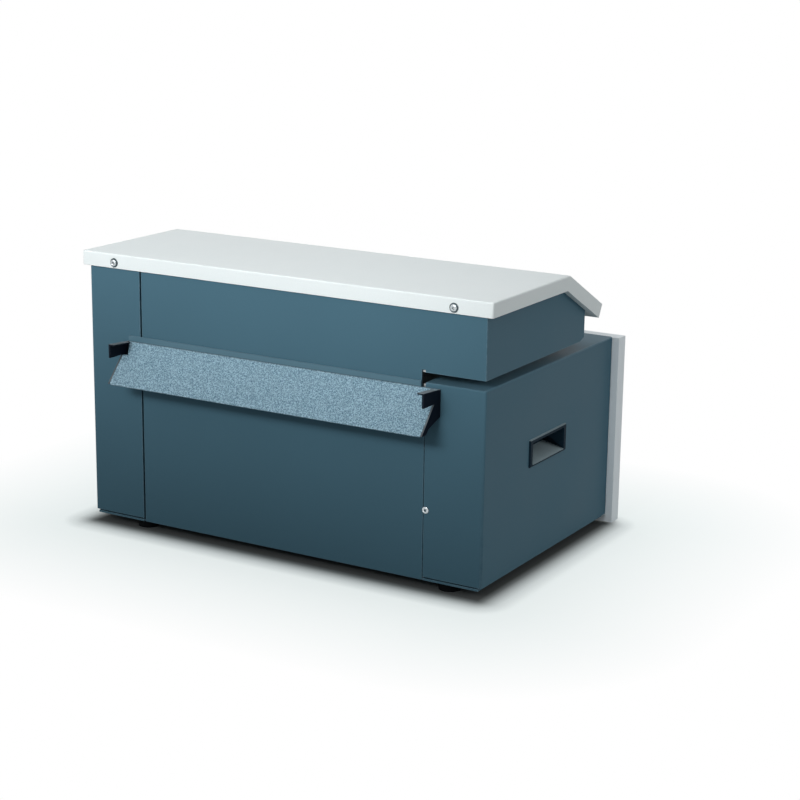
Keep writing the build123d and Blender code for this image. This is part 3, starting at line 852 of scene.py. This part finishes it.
def seat_on(piece, place, outward):
    """Moves a piece made about Z to its place, with +Z pointing outward."""
    turn = Vector(outward).to_track_quat("Z", "Y").to_matrix().to_4x4()
    piece.data.transform(Matrix.Translation(place) @ turn)


def cross_head_screw(name, place, outward, radius, turn, washer_radius=0.0):
    """Zinc pan-head screw with a cross recess, with or without a washer."""
    base = WASHER_THICKNESS if washer_radius else 0.0
    height = radius * HEAD_HEIGHT_SHARE
    head = lathe(name, dome_profile(radius, height, base), SCREW_ZINC)
    top = base + height
    cut(head, [recess_bar(radius, top, turn), recess_bar(radius, top, turn + math.pi / 2)])
    for polygon in head.data.polygons:
        polygon.use_smooth = True
    made = [head]
    if washer_radius:
        profile = washer_profile(radius * WASHER_HOLE_SHARE, washer_radius)
        made.append(lathe(name + "_washer", profile, WASHER_STEEL))
    for piece in made:
        seat_on(piece, place, outward)
        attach(piece, "root")


def lid_screws():
    """Two screws in the front lip of the lid."""
    low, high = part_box("lid")
    z = high[2] - LID_SCREW_BELOW_TOP
    left_x = low[0] + LID_SCREW_FROM_SIDE
    right_x = high[0] - LID_SCREW_FROM_SIDE
    for side, x, turn in zip(("left", "right"), (left_x, right_x), LID_SCREW_TURNS):
        name = f"lid_screw_{side}"
        place = Vector((x, low[1], z))
        cross_head_screw(name, place, FRONT, LID_SCREW_RADIUS, turn, LID_WASHER_RADIUS)


def cover_screw():
    """Screw on the seam between the front panel and the right side cover."""
    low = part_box("right_side_cover")[0]
    place = Vector((low[0] + COVER_SCREW_FROM_SEAM, low[1], COVER_SCREW_LEVEL))
    cross_head_screw("cover_screw", place, FRONT, COVER_SCREW_RADIUS, COVER_SCREW_TURN)


def rear_panel_screws():
    """Four screws that hold the white panel on the feed side."""
    low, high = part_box("rear_panel")
    inset_by = REAR_SCREW_INSET
    for row, z in (("low", low[2] + inset_by), ("high", high[2] - inset_by)):
        for side, x in (("left", low[0] + inset_by), ("right", high[0] - inset_by)):
            name = f"rear_screw_{row}_{side}"
            turn = x * REAR_SCREW_TURN_PER_METRE
            cross_head_screw(name, Vector((x, high[1], z)), BACK, COVER_SCREW_RADIUS, turn)


# Studio

def any_seen_ray(tree):
    """1 where the camera, a reflection or a refraction looks, 0 for the light that bounces."""
    rays = tree.nodes.new("ShaderNodeLightPath").outputs
    glossy = maths(tree, "MAXIMUM", rays["Is Camera Ray"], rays["Is Glossy Ray"])
    return maths(tree, "MAXIMUM", glossy, rays["Is Transmission Ray"])


def distance_from_machine(tree, place):
    """How far a point of the floor lies outside the base of the machine."""
    low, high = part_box("base_pan")
    middle = ((low[0] + high[0]) / 2, (low[1] + high[1]) / 2, 0.0)
    half = ((high[0] - low[0]) / 2, (high[1] - low[1]) / 2, 0.0)
    offset = vector_maths(tree, "SUBTRACT", place, middle)["Vector"]
    folded = vector_maths(tree, "ABSOLUTE", offset)["Vector"]
    past = vector_maths(tree, "SUBTRACT", folded, half)["Vector"]
    outside = vector_maths(tree, "MAXIMUM", past, (0.0, 0.0, 0.0))["Vector"]
    return vector_maths(tree, "LENGTH", outside)["Value"]


def floor():
    """Pale floor with a painted shadow close to the machine, that fades into the white
    background.
    """
    mesh = bmesh.new()
    bmesh.ops.create_circle(mesh, cap_ends=True, segments=FLOOR_SEGMENTS, radius=FLOOR_RADIUS)
    made = mesh_object("floor", mesh)
    material = bpy.data.materials.new("studio_floor")
    material.use_nodes = True
    tree = material.node_tree
    tree.nodes.clear()
    output = tree.nodes.new("ShaderNodeOutputMaterial")
    place = object_place(tree)
    away = distance_from_machine(tree, place)
    grain = noise(tree, place, scale=40.0, detail=4.0)
    grain = remap(tree, grain, low=0.3, high=0.7, to_low=0.97)
    # Painted shadow: the floor's colour darkens towards the base of the machine
    painted_contact_shadow = remap(tree, away, 0.0, CONTACT_SHADOW_WIDTH, to_low=CONTACT_SHADOW_TONE)
    tone = shaded(tree, FLOOR_COLOUR, scaled(tree, painted_contact_shadow, grain))
    seen_matt = shader_node(tree, "ShaderNodeBsdfDiffuse", {"Color": tone}).outputs[0]
    fade = remap(tree, away, FADE_START, FADE_END)
    glow = tint(tree, "MIX", fade, FLOOR_GLOW, grey(1.0))
    white = shader_node(tree, "ShaderNodeEmission", {"Color": glow, "Strength": 1.0}).outputs[0]
    clearing = remap(tree, away, CLEARING_START, CLEARING_END, to_high=FLOOR_LIFT)
    unlifted = scaled(tree, one_minus(tree, clearing), one_minus(tree, fade))
    seen = {0: one_minus(tree, unlifted), 1: seen_matt, 2: white}
    seen = shader_node(tree, "ShaderNodeMixShader", seen).outputs[0]
    bounced = shader_node(tree, "ShaderNodeBsdfDiffuse", {"Color": FLOOR_BOUNCE}).outputs[0]
    surface = {0: any_seen_ray(tree), 1: bounced, 2: seen}
    surface = shader_node(tree, "ShaderNodeMixShader", surface)
    tree.links.new(surface.outputs[0], output.inputs["Surface"])
    made.data.materials.append(material)


def surroundings():
    """White behind everything that is seen, a soft even dome for the light."""
    world = bpy.data.worlds.new("studio_dome")
    bpy.context.scene.world = world
    world.use_nodes = True
    tree = world.node_tree
    tree.nodes.clear()
    output = tree.nodes.new("ShaderNodeOutputWorld")
    dome = {"Color": DOME_COLOUR, "Strength": DOME_STRENGTH}
    dome = shader_node(tree, "ShaderNodeBackground", dome).outputs[0]
    white = {"Color": grey(1.0), "Strength": 1.0}
    white = shader_node(tree, "ShaderNodeBackground", white).outputs[0]
    mix = shader_node(tree, "ShaderNodeMixShader", {0: any_seen_ray(tree), 1: dome, 2: white})
    tree.links.new(mix.outputs[0], output.inputs["Surface"])


def softbox(name, place, target, size, power, spread):
    """Rectangular soft light aimed at a point."""
    lamp = bpy.data.lights.new(name, "AREA")
    lamp.shape = "RECTANGLE"
    lamp.size, lamp.size_y = size
    lamp.energy = power
    lamp.spread = math.radians(spread)
    made = bpy.data.objects.new(name, lamp)
    made.location = place
    aim = (Vector(target) - Vector(place)).to_track_quat("-Z", "Y")
    made.rotation_euler = aim.to_euler()
    made.visible_camera = False
    bpy.context.scene.collection.objects.link(made)


def camera():
    """The photograph's viewpoint."""
    yaw, pitch, roll = CAMERA_YAW, CAMERA_PITCH, CAMERA_ROLL
    flat_ahead = Vector((-math.sin(yaw), math.cos(yaw), 0.0))
    ahead = flat_ahead * math.cos(pitch) - Vector((0.0, 0.0, math.sin(pitch)))
    level = Vector((math.cos(yaw), math.sin(yaw), 0.0))
    upright = level.cross(ahead)
    right = level * math.cos(roll) + upright * math.sin(roll)
    up = upright * math.cos(roll) - level * math.sin(roll)
    data = bpy.data.cameras.new("photo_camera")
    data.lens = CAMERA_LENS
    data.sensor_width = CAMERA_SENSOR
    data.clip_start = CAMERA_NEAREST
    data.clip_end = CAMERA_FURTHEST
    made = bpy.data.objects.new("photo_camera", data)
    turn = Matrix((right, up, -ahead)).transposed()
    made.matrix_world = Matrix.Translation(CAMERA_PLACE) @ turn.to_4x4()
    bpy.context.scene.collection.objects.link(made)
    bpy.context.scene.camera = made


finish_nodes()
soften_edges([nodes[name] for name in FOLDED])
recessed_handle("left_handle", -1)
recessed_handle("right_handle", 1)
notched_deflector()
lid_screws()
cover_screw()
rear_panel_screws()
floor()
surroundings()
for light_name, light_values in LIGHTS.items():
    softbox(light_name, *light_values)
camera()
bpy.context.scene.view_settings.view_transform = "Standard"
